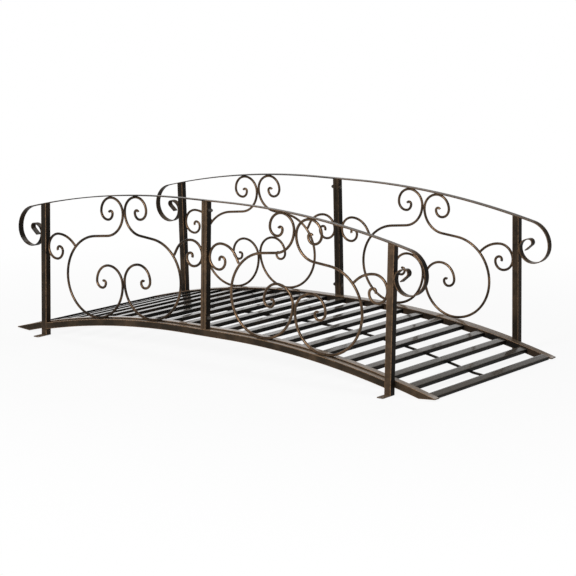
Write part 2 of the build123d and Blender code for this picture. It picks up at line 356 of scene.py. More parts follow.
def scroll_run_share():
    """The straight run below an S scroll's neck that brings its big loop back to its twin."""
    turn = radians(NECK_TURN)
    spare = LOOP_INNER_SHARE + LOOP_OUTER_SHARE - (NECK_SHARE + SHOULDER_SHARE) * (1 - cos(turn))
    return spare / sin(turn)


def shoulder_drop_share():
    """How far the centre of an S scroll's shoulder lies below its upper touch."""
    turn = radians(NECK_TURN)
    return (NECK_SHARE + SHOULDER_SHARE) * sin(turn) + scroll_run_share() * cos(turn)


def fit_scroll(hand):
    """The loop radius and upper touch height that seat an S scroll on both rails."""
    first, second = UPPER_CURL_SHARES[0][0], UPPER_CURL_SHARES[1][0]
    drop = shoulder_drop_share()
    if hand > 0:
        top_share, top_lift = second, first - second
        foot_share, foot_drop = LOOP_INNER_SHARE, drop + LOOP_OUTER_SHARE - LOOP_INNER_SHARE
    else:
        top_share, top_lift = first, 0
        foot_share, foot_drop = LOOP_OUTER_SHARE, drop
    reach, arch, flat = rod_reach(), sizes().arch_radius, sizes().arch_flat
    radius = (sizes().handrail_height - sizes().rail_height) / (drop + LOOP_OUTER_SHARE + first)
    for _ in range(FIT_ROUNDS):
        top_run = panel_middle() + hand * (reach + first * radius) - flat
        foot_run = panel_middle() + hand * (reach + LOOP_INNER_SHARE * radius) - flat
        foot_reach = arch + foot_share * radius + reach
        top_reach = arch - sizes().handrail_depth - top_share * radius - reach
        foot_centre = sizes().rail_height - arch + sqrt(foot_reach**2 - foot_run**2)
        top_centre = sizes().handrail_height - arch + sqrt(top_reach**2 - top_run**2)
        spare = top_centre - foot_centre - (top_lift + foot_drop) * radius
        radius += spare / (top_share + top_lift + foot_drop + foot_share)
    return radius, foot_centre + foot_drop * radius


def scroll_path(hand):
    """One S scroll, from the tip of its upper curl to the tip of its lower curl."""
    radius, touch_z = fit_scroll(hand)
    touch = (panel_middle() + hand * rod_reach(), touch_z)
    down = [(NECK_SHARE * radius, hand * NECK_TURN), (scroll_run_share() * radius, 0)]
    down += scaled([(SHOULDER_SHARE, NECK_TURN)], radius, -hand)
    down += scaled([(LOOP_OUTER_SHARE, 90), (LOOP_INNER_SHARE, 90)], radius, -hand)
    down += scaled(LOWER_CURL_SHARES, radius, -hand)
    curl = scaled(UPPER_CURL_SHARES, radius, -hand)
    upper = walk(touch, pi / 2, curl, ROD_ARC_STEP, ROD_LINE_STEP)
    lower = walk(touch, -pi / 2, down, ROD_ARC_STEP, ROD_LINE_STEP)
    return upper[:0:-1] + lower


def side_curl_path(name):
    """One side curl, from an S scroll's shoulder to its eye beside the post."""
    hand = HANDS[name]
    radius, touch_z = fit_scroll(hand)
    post_middle = POST_MIDDLE if hand > 0 else 0
    post_gap = abs(post_middle - panel_middle()) - POST_SIZE / 2 - rod_reach()
    bend = radians(CURL_ANGLE[name])
    rise = CURL_ANGLE[name] + CURL_LEAN[name]
    standoff = sizes().rod_size / 2 * (1 + sin(radians(CURL_LEAN[name]))) + sizes().weld_gap
    arm = SHOULDER_SHARE * radius + standoff
    out = rod_reach() + (LOOP_INNER_SHARE + LOOP_OUTER_SHARE - SHOULDER_SHARE) * radius
    start_out = out + arm * cos(bend)
    start_z = touch_z - shoulder_drop_share() * radius + arm * sin(bend)
    leg_share, rise_share = CURL_LEG_SHARES[name], CURL_RISE_SHARES[name]
    reach = leg_share * cos(radians(rise)) + rise_share * sin(radians(rise)) + SIDE_CURL_SHARES[0][0]
    size = (post_gap - start_out) / reach
    turns = [(leg_share * size, 0)] + scaled([(rise_share, rise)] + SIDE_CURL_SHARES, size, -hand)
    angle = radians(rise if hand > 0 else 180 - rise)
    start = (panel_middle() + hand * start_out, start_z)
    return walk(start, angle, turns, CURL_ARC_STEP, CURL_LINE_STEP)


def handrail_path():
    """The middle of the handrail's flat bar, from the joint to the tip of its scroll."""
    depth = sizes().handrail_depth / 2
    size = sizes().hand_scroll_radius
    inner = post_high.x + depth + sizes().weld_gap
    second, third = HAND_SCROLL_SHARES[0][0], HAND_SCROLL_SHARES[1][0]
    start = post_high.x
    for _ in range(FIT_ROUNDS):
        start = inner + size * (second + third - 1 + sin(arch_slope(depth, start)))
    slope = arch_slope(depth, start)
    arch = arch_path(sizes().handrail_height, depth, start, ARCH_STEP)
    over = [(u, z, -fall) for u, z, fall in arch]
    turns = [(size, degrees(slope) - 90)] + scaled(HAND_SCROLL_SHARES, size, -1)
    turns += [(size * HAND_TAIL_SHARE, 0)]
    return over + walk(over[-1][:2], -slope, turns, BAR_ARC_STEP, BAR_LINE_STEP)[1:]


# Meshes

def add_object(name, mesh):
    piece = bpy.data.objects.new(name, mesh)
    bpy.context.scene.collection.objects.link(piece)
    return piece


def seat(piece, slot, *nodes):
    """Ties a finished piece to the frame."""
    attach(piece, "root")
    if nodes:
        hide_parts(*nodes)
    return piece


def quarters():
    """The four quarters of the bridge: name, sign of the side, sign of the end."""
    for side_name, side in SIDES.items():
        for end_name, end in ENDS.items():
            yield f"{side_name}_{end_name}", side, end


def lean_in(piece, side, y, lift=0.0):
    """Moves a piece drawn upright at zero to the leaning plane that meets the ground at y."""
    turn = Matrix.Rotation(side * sizes().railing_lean, 4, "X")
    piece.data.transform(Matrix.Translation((0, side * y, 0)) @ turn @ Matrix.Translation((0, 0, lift)))


def railing_y():
    """Where the middle plane of a railing meets the ground."""
    return sizes().railing_reach - POST_SIZE / 2 / cos(sizes().railing_lean)


def soft_section(width, depth, radius):
    """A rectangle with rounded corners: points, outward directions and distances from an edge."""
    half_w, half_d = width / 2, depth / 2
    radius = min(radius, half_w * ROUND_LIMIT_SHARE, half_d * ROUND_LIMIT_SHARE)
    points, facing = [], []
    for number, (across, up) in enumerate(((1, 1), (-1, 1), (-1, -1), (1, -1))):
        corner = (across * (half_w - radius), up * (half_d - radius))
        for step in range(EDGE_STEPS + 1):
            angle = pi / 2 * (number + step / EDGE_STEPS)
            points.append((corner[0] + radius * cos(angle), corner[1] + radius * sin(angle)))
            facing.append((cos(angle), sin(angle)))
        angle = pi / 2 * (number + 1)
        way = (round(cos(angle)), round(sin(angle)))
        points.append((half_w * way[0], half_d * way[1]))
        facing.append(way)
    edge = [max(half_w - abs(a), half_d - abs(b)) for a, b in points]
    return points, facing, edge


class Station:
    """A place on a bar's path: its middle, its two section directions and its section."""

    def __init__(self, middle, across, up, section):
        self.middle = Vector(middle)
        self.across = Vector(across)
        self.up = Vector(up)
        self.section = section


def loft(name, stations, material):
    """A closed bar through the stations, shaded as true rounded edges and flat ends.

    Its points carry their distance from an edge and how far they face up.
    """
    count = len(stations[0].section[0])
    verts, facing, edge = [], [], []
    for station in stations:
        for (a, b), (da, db), near in zip(*station.section):
            verts.append(station.middle + station.across * a + station.up * b)
            facing.append((station.across * da + station.up * db).normalized())
            edge.append(near)
    faces = [tuple(range(count))[::-1]]
    for ring in range(len(stations) - 1):
        for place in range(count):
            here, there = ring * count + place, ring * count + (place + 1) % count
            faces.append((here, there, there + count, here + count))
    faces.append(tuple(range((len(stations) - 1) * count, len(stations) * count)))
    side = (verts[1] - verts[0]).cross(verts[count] - verts[0])
    if side.dot(facing[0]) < 0:
        faces = [face[::-1] for face in faces]
    mesh = bpy.data.meshes.new(name)
    mesh.from_pydata([tuple(v) for v in verts], [], faces)
    store(mesh, "edge", edge)
    # How far a point faces up sets the painted highlight on upper faces.
    store(mesh, "top", [min(max(2 * n.z - 1, 0), 1) for n in facing])
    ends = (0, len(faces) - 1)
    normals = []
    for polygon in mesh.polygons:
        flat = polygon.index in ends
        for corner in polygon.loop_indices:
            normals.append(polygon.normal if flat else facing[mesh.loops[corner].vertex_index])
    mesh.polygons.foreach_set("use_smooth", [True] * len(faces))
    mesh.normals_split_custom_set([tuple(n) for n in normals])
    mesh.materials.append(material)
    return add_object(name, mesh)


def store(mesh, name, values):
    attribute = mesh.attributes.new(name, "FLOAT", "POINT")
    attribute.data.foreach_set("value", np.array(values, np.float32))


def arch_stations(points, end, width, depth, radius):
    """Stations along a bar that follows the arch, with its section square to the curve."""
    section = soft_section(width, depth, radius)
    stations = []
    for u, z, angle in points:
        up = (-end * sin(angle), 0, cos(angle))
        stations.append(Station((end * u, 0, z), (0, 1, 0), up, section))
    return stations


def plumb_end(piece, end, u, slope, first):
    """Shears the vertices past first so that the bar ends on the upright plane at u."""
    for vertex in piece.data.vertices:
        if end * vertex.co.x > first:
            shift = u - end * vertex.co.x
            vertex.co.x += end * shift
            vertex.co.z -= shift * tan(slope)


class BRIDGE_OT_posts(bpy.types.Operator):
    """Builds the end posts and the two halves of each middle post"""
    bl_idname = "bridge.posts"
    bl_label = "Posts"
    # Painted sheen (extra rubbed bronze) on the outer faces and painted shade on each post, by place, for
    # how the light falls; the faces along the bridge get more painted shade.
    painted_sheen = {"left": 0.0, "middle": 1.6, "right": 1.3}
    place_shade = {"left": 0.5, "middle": 0.0, "right": 0.4}
    flank_shade = 0.85
    face_share = 0.499

    def execute(self, context):
        material = tube_coat()
        for quarter, side, end in quarters():
            post = self.end_post(f"{quarter}_end_post_tube", side, end, material)
            # Painted shade and a painted bronze sheen go onto each post and half post.
            self.wear(post, side, end * POST_MIDDLE, quarter.split("_")[1])
            lean_in(post, side, railing_y())
            seat(post, "bronze_tube", f"{quarter}_end_post")
            half = self.mid_post(f"{quarter}_mid_post_tube", end, material)
            self.wear(half, side, 0, "middle")
            self.darken_seam(half)
            lean_in(half, side, railing_y())
            seat(half, "bronze_tube", f"{quarter}_mid_post")
        return {"FINISHED"}

    def wear(self, post, side, middle, place):
        """Paints shade, most on the faces along the bridge and elsewhere by the post's place, and paints a
        bronze sheen on the outer faces by place.
        """
        face = self.face_share * POST_SIZE
        painted_shade, painted_sheen = [], []
        for vertex in post.data.vertices:
            flank = abs(vertex.co.x - middle) > face
            outer = side * vertex.co.y > face
            painted_shade.append(self.flank_shade if flank else self.place_shade[place])
            painted_sheen.append(self.painted_sheen[place] if outer else 0.0)
        store(post.data, "painted_shade", painted_shade)
        store(post.data, "painted_sheen", painted_sheen)

    def darken_seam(self, half):
        """Paints shade into a half post's seam, free of painted sheen, keeps the seam's side unrubbed, and
        leaves its outer corners less rubbed.
        """
        near = sizes().tube_edge
        marks = half.data.attributes
        for vertex in half.data.vertices:
            seam = abs(vertex.co.x) < POST_SIZE / 4
            marks["edge"].data[vertex.index].value += POST_SIZE / 2 if seam else near / 2
            # The seam face gets full painted shade and no painted sheen.
            if abs(vertex.co.x) < near:
                marks["painted_shade"].data[vertex.index].value = 1
                marks["painted_sheen"].data[vertex.index].value = 0

    def end_post(self, name, side, end, material):
        section = soft_section(POST_SIZE, POST_SIZE, sizes().tube_edge)
        top = sizes().handrail_height
        post = loft(name, self.stations(end * POST_MIDDLE, 0, top, section), material)
        for vertex in post.data.vertices:
            if vertex.co.z == 0:
                vertex.co.z = -vertex.co.y * tan(side * sizes().railing_lean)
            if vertex.co.z > top * POST_TOP_SHARE:
                vertex.co.z = arch_z(top, sizes().handrail_depth, end * vertex.co.x)
        return post

    def mid_post(self, name, end, material):
        section = soft_section(POST_SIZE / 2, POST_SIZE, sizes().tube_edge)
        low, high = sizes().rail_height, sizes().handrail_height - sizes().handrail_depth
        return loft(name, self.stations(end * POST_SIZE / 4, low, high, section), material)

    def stations(self, x, low, high, section):
        heights = [low + (high - low) * share for share in POST_HEIGHT_SHARES]
        return [Station((x, 0, z), (1, 0, 0), (0, 1, 0), section) for z in heights]


class BRIDGE_OT_rails(bpy.types.Operator):
    """Builds the bottom rails outside the deck"""
    bl_idname = "bridge.rails"
    bl_label = "Bottom rails"

    def execute(self, context):
        material = tube_coat()
        depth, edge = sizes().rail_depth, sizes().tube_edge * RAIL_EDGE_SHARE
        stop = post_low.x
        arch = arch_path(sizes().rail_height, depth / 2, stop, ARCH_STEP)
        points = [(u, z, -fall) for u, z, fall in arch]
        slope = arch_slope(depth / 2, stop)
        for quarter, side, end in quarters():
            stations = arch_stations(points, end, POST_SIZE, depth, edge)
            rail = loft(f"{quarter}_bottom_rail_tube", stations, material)
            plumb_end(rail, end, stop, slope, stop - depth / 2)
            lean_in(rail, side, railing_y())
            seat(rail, "bronze_tube", f"{quarter}_bottom_rail")
        return {"FINISHED"}


class BRIDGE_OT_beams(bpy.types.Operator):
    """Builds the deck side beams, with their pointed tips on the ground"""
    bl_idname = "bridge.beams"
    bl_label = "Side beams"
    face_share = 0.49

    def execute(self, context):
        material = tube_coat()
        width, lean = sizes().beam_width, sizes().railing_lean
        face = self.face_share * width
        y = sizes().railing_reach - (POST_SIZE + width / 2) / cos(lean)
        for quarter, side, end in quarters():
            beam = loft(f"{quarter}_side_beam_tube", self.stations(end, width), material)
            # Painted shade on the inner faces, towards the deck.
            inner = [1.0 if -side * v.co.y > face else 0.0 for v in beam.data.vertices]
            store(beam.data, "painted_shade", inner)
            lean_in(beam, side, y, width / 2 * tan(lean))
            seat(beam, "bronze_tube", f"{quarter}_side_beam")
        return {"FINISHED"}

    def stations(self, end, width):
        """Sections square to the arch, then thinner ones along the tip."""
        depth, radius = sizes().beam_depth, sizes().arch_radius
        top, stop = sizes().deck_height, beam_high.x
        ground = sizes().arch_flat + sqrt((radius - depth) ** 2 - (radius - top) ** 2)
        tip_low = arch_z(top, 0, stop) - sizes().tip_depth
        pairs = []
        for u, z, fall in arch_path(top, depth, ground, ARCH_STEP):
            pairs.append((u, z, u + depth * sin(fall)))
        head = pairs[-1][2]
        for number in range(1, TIP_STEPS + 1):
            share = number / TIP_STEPS
            low_u = ground + (stop - ground) * share
            pairs.append((low_u, tip_low * share, head + (stop - head) * share))
        stations = []
        for low_u, low_z, high_u in pairs:
            low = Vector((end * low_u, 0, low_z))
            high = Vector((end * high_u, 0, arch_z(top, 0, high_u)))
            section = soft_section(width, (high - low).length, sizes().tube_edge * RAIL_EDGE_SHARE)
            stations.append(Station((low + high) / 2, (0, 1, 0), (high - low).normalized(), section))
        return stations


class BRIDGE_OT_handrails(bpy.types.Operator):
    """Builds the flat handrails and their rolled ends"""
    bl_idname = "bridge.handrails"
    bl_label = "Handrails"

    def execute(self, context):
        material = rail_coat()
        points = handrail_path()
        width, depth = sizes().handrail_width, sizes().handrail_depth
        for quarter, side, end in quarters():
            stations = arch_stations(points, end, width, depth, sizes().handrail_edge)
            rail = loft(f"{quarter}_handrail_bar", stations, material)
            self.dull(rail, end)
            lean_in(rail, side, railing_y(), -sizes().handrail_sink)
            seat(rail, "bronze_rod", f"{quarter}_handrail")
        return {"FINISHED"}

    def dull(self, rail, end):
        """Leaves the left bars' edges unrubbed."""
        if end < 0:
            for near in rail.data.attributes["edge"].data:
                near.value = sizes().handrail_width


# Geometry Nodes

class Tree:
    """A new node tree with short ways to add nodes and join sockets."""

    def __init__(self, name, kind):
        self.tree = bpy.data.node_groups.new(name, kind)
        self.ids = {}

    def take(self, name, socket, default=None):
        made = self.tree.interface.new_socket(name=name, in_out="INPUT", socket_type=socket)
        if default is not None:
            made.default_value = default
        self.ids[name] = made.identifier

    def give(self, name, socket):
        self.tree.interface.new_socket(name=name, in_out="OUTPUT", socket_type=socket)

    def add(self, kind, inputs=None, **settings):
        return add_node(self.tree, kind, inputs, **settings)

    def link(self, start, stop):
        self.tree.links.new(start, stop)

    def math(self, operation, *values):
        return math_node(self.tree, operation, *values)

    def mark(self, geometry, name, value):
        """Geometry whose points carry a named number."""
        inputs = {"Geometry": geometry, "Name": name, "Value": value}
        node = self.add("GeometryNodeStoreNamedAttribute", inputs, data_type="FLOAT", domain="POINT")
        return node.outputs[0]

    def read(self, name):
        """A named number that the points carry."""
        node = self.add("GeometryNodeInputNamedAttribute", {"Name": name}, data_type="FLOAT")
        return node.outputs["Attribute"]

    def sweep(self, line, normal, section):
        """A section drawn along a line with one fixed normal, and closed at both ends."""
        level = self.add("GeometryNodeSetCurveNormal", {"Curve": line, "Normal": normal}, mode="FREE")
        inputs = {"Curve": level.outputs[0], "Profile Curve": section, "Fill Caps": True}
        return self.add("GeometryNodeCurveToMesh", inputs).outputs[0]

    def end_coated(self, name, geometry, material):
        """Ends a geometry tree: its copies made real, coated and given out."""
        whole = self.add("GeometryNodeRealizeInstances", {"Geometry": geometry})
        inputs = {"Geometry": whole.outputs[0], "Material": material}
        coated = self.add("GeometryNodeSetMaterial", inputs)
        self.add("NodeGroupOutput", {name: coated.outputs[0]})


def add_node(tree, kind, inputs=None, **settings):
    """A node with its settings and inputs; an input is a value or another node's output."""
    node = tree.nodes.new(kind)
    for name, value in settings.items():
        setattr(node, name, value)
    for name, value in (inputs or {}).items():
        if isinstance(value, bpy.types.NodeSocket):
            tree.links.new(value, node.inputs[name])
        else:
            node.inputs[name].default_value = value
    return node


def math_node(tree, operation, *values, **settings):
    node = add_node(tree, "ShaderNodeMath", dict(enumerate(values)), operation=operation, **settings)
    return node.outputs[0]


def spread(tree, value, before, after, **settings):
    """A value carried over from one range to another."""
    inputs = {
        "Value": value, "From Min": before[0], "From Max": before[1],
        "To Min": after[0], "To Max": after[1],
    }
    return add_node(tree, "ShaderNodeMapRange", inputs, **settings).outputs[0]


def noise(tree, vector, scale, detail, roughness=0.5):
    inputs = {"Vector": vector, "Scale": scale, "Detail": detail, "Roughness": roughness}
    return add_node(tree, "ShaderNodeTexNoise", inputs).outputs["Fac"]


def rod_tree():
    """Round rods along the edges of a path mesh."""
    build = Tree("Rods along a path", "GeometryNodeTree")
    build.take("Path", "NodeSocketGeometry")
    build.take("Rod diameter", "NodeSocketFloat", sizes().rod_size)
    build.take("Sides", "NodeSocketInt", ROD_SIDES)
    build.take("Coat", "NodeSocketMaterial")
    build.give("Rods", "NodeSocketGeometry")
    given = build.add("NodeGroupInput").outputs
    half = build.math("MULTIPLY", given["Rod diameter"], 0.5)
    ring = build.add("GeometryNodeCurvePrimitiveCircle", {"Resolution": given["Sides"], "Radius": half})
    path = build.add("GeometryNodeMeshToCurve", {"Mesh": given["Path"]})
    rods = build.sweep(path.outputs[0], (0, 1, 0), ring.outputs[0])
    build.end_coated("Rods", rods, given["Coat"])
    return build


def grow(name, carrier, build, values):
    """Runs a tree on a carrier mesh and keeps the result as a plain mesh piece."""
    piece = add_object(name, carrier)
    modifier = piece.modifiers.new(name, "NODES")
    modifier.node_group = build.tree
    for label, value in values.items():
        modifier[build.ids[label]] = value
    shown = piece.evaluated_get(bpy.context.evaluated_depsgraph_get())
    mesh = bpy.data.meshes.new_from_object(shown)
    piece.modifiers.clear()
    piece.data = mesh
    mesh.name = name
    bpy.data.meshes.remove(carrier)
    return piece


def path_mesh(name, paths, end):
    """Edges along each path."""
    verts, edges = [], []
    for path in paths:
        start = len(verts)
        verts += [(end * u, 0, z) for u, z, _ in path]
        edges += [(place, place + 1) for place in range(start, len(verts) - 1)]
    mesh = bpy.data.meshes.new(name)
    mesh.from_pydata(verts, edges, [])
    return mesh


def shade(mesh, sharp):
    """Smooth shading with sharp edges past an angle in degrees."""
    mesh.polygons.foreach_set("use_smooth", [True] * len(mesh.polygons))
    mesh.set_sharp_from_angle(angle=radians(sharp))


class BRIDGE_OT_scrolls(bpy.types.Operator):
    """Bends the S scrolls and the side curls from round rod"""
    bl_idname = "bridge.scrolls"
    bl_label = "Scroll rods"
    # Painted sheen on each quarter's rods: extra rubbed bronze where the light falls on them.
    painted_sheen = {"front_left": 0.0, "front_right": 1.5, "back_left": 1.2, "back_right": 0.8}

    def execute(self, context):
        build = rod_tree()
        values = {"Rod diameter": sizes().rod_size, "Sides": ROD_SIDES, "Coat": rod_coat()}
        scrolls = [scroll_path(hand) for hand in HANDS.values()]
        curls = [side_curl_path(name) for name in HANDS]
        for quarter, side, end in quarters():
            for kind, paths in (("scrolls", scrolls), ("side_curls", curls)):
                name = f"{quarter}_{kind}_rods"
                rods = grow(name, path_mesh(name, paths, end), build, values)
                shade(rods.data, ROD_SHARP)
                # Each point of a quarter's rods carries its painted sheen.
                store(rods.data, "painted_sheen", [self.painted_sheen[quarter]] * len(rods.data.vertices))
                lean_in(rods, side, railing_y())
                seat(rods, "bronze_rod", f"{quarter}_{kind}")
        return {"FINISHED"}


def slat_tree():
    """Slats set square to the arch on a row of points, each a bar with soft edges."""
    build = Tree("Slats on the arch", "GeometryNodeTree")
    build.take("Places", "NodeSocketGeometry")
    build.take("Length", "NodeSocketFloat", 2 * slat_reach())
    build.take("Width", "NodeSocketFloat", sizes().slat_width)
    build.take("Depth", "NodeSocketFloat", sizes().slat_depth)
    build.take("Edge", "NodeSocketFloat", sizes().slat_edge)
    build.take("Coat", "NodeSocketMaterial")
    build.give("Slats", "NodeSocketGeometry")
    given = build.add("NodeGroupInput").outputs
    stop = build.add("ShaderNodeCombineXYZ", {"Y": build.math("MULTIPLY", given["Length"], 0.5)})
    start = build.add("ShaderNodeCombineXYZ", {"Y": build.math("MULTIPLY", given["Length"], -0.5)})
    ends = {"Start": start.outputs[0], "End": stop.outputs[0]}
    line = build.add("GeometryNodeCurvePrimitiveLine", ends)
    size = {"Width": given["Width"], "Height": given["Depth"]}
    plate = build.add("GeometryNodeCurvePrimitiveQuadrilateral", size, mode="RECTANGLE")
    soft = build.add("GeometryNodeFilletCurve", {
        "Curve": plate.outputs[0], "Radius": given["Edge"], "Count": EDGE_STEPS, "Limit Radius": True,
    }, mode="POLY")
    fine = build.add("GeometryNodeSubdivideCurve", {"Curve": soft.outputs[0], "Cuts": SLAT_CUTS})
    place = build.add("GeometryNodeInputPosition")
    parts = build.add("ShaderNodeSeparateXYZ", {0: place.outputs[0]}).outputs
    gaps = []
    for across, size in (("X", "Width"), ("Y", "Depth")):
        half = build.math("MULTIPLY", given[size], 0.5)
        gaps.append(build.math("SUBTRACT", half, build.math("ABSOLUTE", parts[across])))
    edged = build.mark(fine.outputs[0], "edge", build.math("MAXIMUM", *gaps))
    # Points on a slat's upper and lower faces get the painted highlight of upper faces.
    faced = build.mark(edged, "top", build.math("LESS_THAN", gaps[1], sizes().slat_face))
    bar = build.sweep(line.outputs[0], (1, 0, 0), faced)
    turn = build.add("ShaderNodeCombineXYZ", {"Y": build.read("pitch")})
    reach = build.add("ShaderNodeCombineXYZ", {"X": 1.0, "Y": build.read("span"), "Z": 1.0})
    row = build.add("GeometryNodeInstanceOnPoints", {
        "Points": given["Places"], "Instance": bar,
        "Rotation": turn.outputs[0], "Scale": reach.outputs[0],
    })
    build.end_coated("Slats", row.outputs[0], given["Coat"])
    return build


def slat_places():
    """The middles of one half's slats along the bridge, the last one thin."""
    last = beam_high.x - sizes().end_slat_setback - sizes().end_slat_width / 2
    span = last - sizes().slat_inset
    count = sizes().slat_count
    return [sizes().slat_inset + span * number / (count - 1) for number in range(count)]


def place_mesh(name, places, drop, depth, end):
    """Points at the middles of slats under the arch, each with its pitch and its share of the length."""
    verts, pitch, span = [], [], []
    for u in places:
        slope = arch_slope(drop, u)
        top = arch_z(sizes().deck_height, drop, u)
        verts.append((end * (u - depth / 2 * sin(slope)), 0, top - depth / 2 * cos(slope)))
        pitch.append(end * slope)
        span.append(1 - top * tan(sizes().railing_lean) / slat_reach())
    mesh = bpy.data.meshes.new(name)
    mesh.from_pydata(verts, [], [])
    store(mesh, "pitch", pitch)
    store(mesh, "span", span)
    return mesh


def slat_reach():
    """From the bridge's middle to the inner face of a side beam on the ground."""
    return sizes().railing_reach - (POST_SIZE + sizes().beam_width) / cos(sizes().railing_lean)


class BRIDGE_OT_deck(bpy.types.Operator):
    """Lays the slats on the arch and the bar that ties them along the middle"""
    bl_idname = "bridge.deck"
    bl_label = "Deck"

    def execute(self, context):
        build = slat_tree()
        material = slat_coat()
        places = slat_places()
        row_size = (sizes().slat_width, sizes().slat_depth, sizes().slat_drop)
        end_size = (sizes().end_slat_width, sizes().end_slat_depth, 0)
        for end_name, end in ENDS.items():
            rows = (("slat_row", places[:-1], row_size), ("end_slat", places[-1:], end_size))
            for kind, row_places, (width, depth, drop) in rows:
                name = f"{end_name}_{kind}"
                slats = grow(name, place_mesh(name, row_places, drop, depth, end), build, {
                    "Length": 2 * slat_reach(), "Width": width, "Depth": depth,
                    "Edge": sizes().slat_edge, "Coat": material,
                })
                shade(slats.data, EDGE_SHARP)
                seat(slats, "bronze_slat", f"{end_name}_deck_slats")
            brace = self.brace(end_name, end, places, material)
            seat(brace, "bronze_slat", f"{end_name}_deck_brace")
        return {"FINISHED"}

    def brace(self, end_name, end, places, material):
        """The bar under the slats, up to the underside of the end slat."""
        depth = sizes().brace_depth
        bend = places[-2] + sizes().slat_width / 2
        underside = sizes().slat_drop + sizes().slat_depth
        points = arch_path(sizes().deck_height - depth / 2, underside, bend, BRACE_STEP)
        stop = places[-1] - sizes().end_slat_width / 2
        stop_z = arch_z(sizes().deck_height, sizes().end_slat_depth, stop) - depth / 2
        points.append((stop, stop_z, points[-1][2]))
        section = soft_section(brace_high.y - brace_low.y, depth, sizes().brace_edge)
        stations = [Station((end * u, 0, z), (0, 1, 0), (0, 0, 1), section) for u, z, _ in points]
        return loft(f"{end_name}_brace_bar", stations, material)


class BRIDGE_OT_feet(bpy.types.Operator):
    """Cuts the foot tabs with their anchor holes"""
    bl_idname = "bridge.feet"
    bl_label = "Foot tabs"

    def execute(self, context):
        material = tube_coat()
        for quarter, side, _ in quarters():
            tab = self.tab(f"{quarter}_foot_tab", f"{quarter}_foot", side, material)
            seat(tab, "bronze_tube", f"{quarter}_foot")
        return {"FINISHED"}

    def tab(self, name, node, side, material):
        low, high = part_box(node)
        thick = high.z - low.z
        mesh = self.plate(name, self.outlines(low, high, side), thick)
        mesh.transform(Matrix.Translation((0, 0, low.z + thick / 2)))
        mesh.materials.clear()
        mesh.materials.append(material)
        store(mesh, "edge", [sizes().foot_wear] * len(mesh.vertices))
        # The upper half gets the painted highlight of upper faces.
        store(mesh, "top", [1.0 if v.co.z > low.z + thick / 2 else 0.0 for v in mesh.vertices])
        shade(mesh, EDGE_SHARP)
        return add_object(name, mesh)

    def outlines(self, low, high, side):
        """A tab's outline, rounded at its outer corners, and its hole."""
        near, far = (high.y, low.y) if side < 0 else (low.y, high.y)
        x0, x1, round_by = low.x, high.x, sizes().foot_corner
        corner_y = far - side * round_by
        outline = [(x0, near), (x0, corner_y)]
        for middle, start in ((x0 + round_by, pi), (x1 - round_by, pi / 2)):
            for step in range(1, CORNER_STEPS):
                angle = start - pi / 2 * step / CORNER_STEPS
                outline.append((middle + round_by * cos(angle), corner_y + side * round_by * sin(angle)))
        outline += [(x1, corner_y), (x1, near)]
        hole_x, hole_y = (x0 + x1) / 2, far - side * sizes().foot_hole_inset
        reach = sizes().foot_hole / 2
        hole = []
        for step in range(HOLE_STEPS):
            angle = 2 * pi * step / HOLE_STEPS
            hole.append((hole_x + reach * cos(angle), hole_y + reach * sin(angle)))
        return outline, hole

    def plate(self, name, outlines, thick):
        """A flat mesh inside the first outline and around the other, with its edges eased."""
        edge = sizes().foot_edge
        curve = bpy.data.curves.new(name, "CURVE")
        curve.dimensions = "2D"
        curve.fill_mode = "BOTH"
        curve.extrude = thick / 2 - edge
        curve.bevel_depth = edge
        curve.bevel_resolution = BEVEL_STEPS
        curve.offset = -edge
        for points in outlines:
            spline = curve.splines.new("POLY")
            spline.points.add(len(points) - 1)
            spline.points.foreach_set("co", [value for x, y in points for value in (x, y, 0, 1)])
            spline.use_cyclic_u = True
        drawn = add_object(name + "_outline", curve)
        shown = drawn.evaluated_get(bpy.context.evaluated_depsgraph_get())
        mesh = bpy.data.meshes.new_from_object(shown)
        bpy.data.objects.remove(drawn)
        return mesh


def spot_mesh(name, spots, end):
    """Points on a quarter's plane, each with the angle that its detail is turned by."""
    mesh = bpy.data.meshes.new(name)
    mesh.from_pydata([(end * u, 0, z) for u, z, _ in spots], [], [])
    store(mesh, "turn", [-end * angle for _, _, angle in spots])
    return mesh


def set_on_spots(build, spots, shape, scale=(1.0, 1.0, 1.0)):
    """Copies of a shape on the spots, turned about the railing's normal."""
    facing = build.add("ShaderNodeCombineXYZ", {"Y": build.read("turn")})
    copies = build.add("GeometryNodeInstanceOnPoints", {
        "Points": spots, "Instance": shape, "Rotation": facing.outputs[0], "Scale": scale,
    })
    return copies.outputs[0]


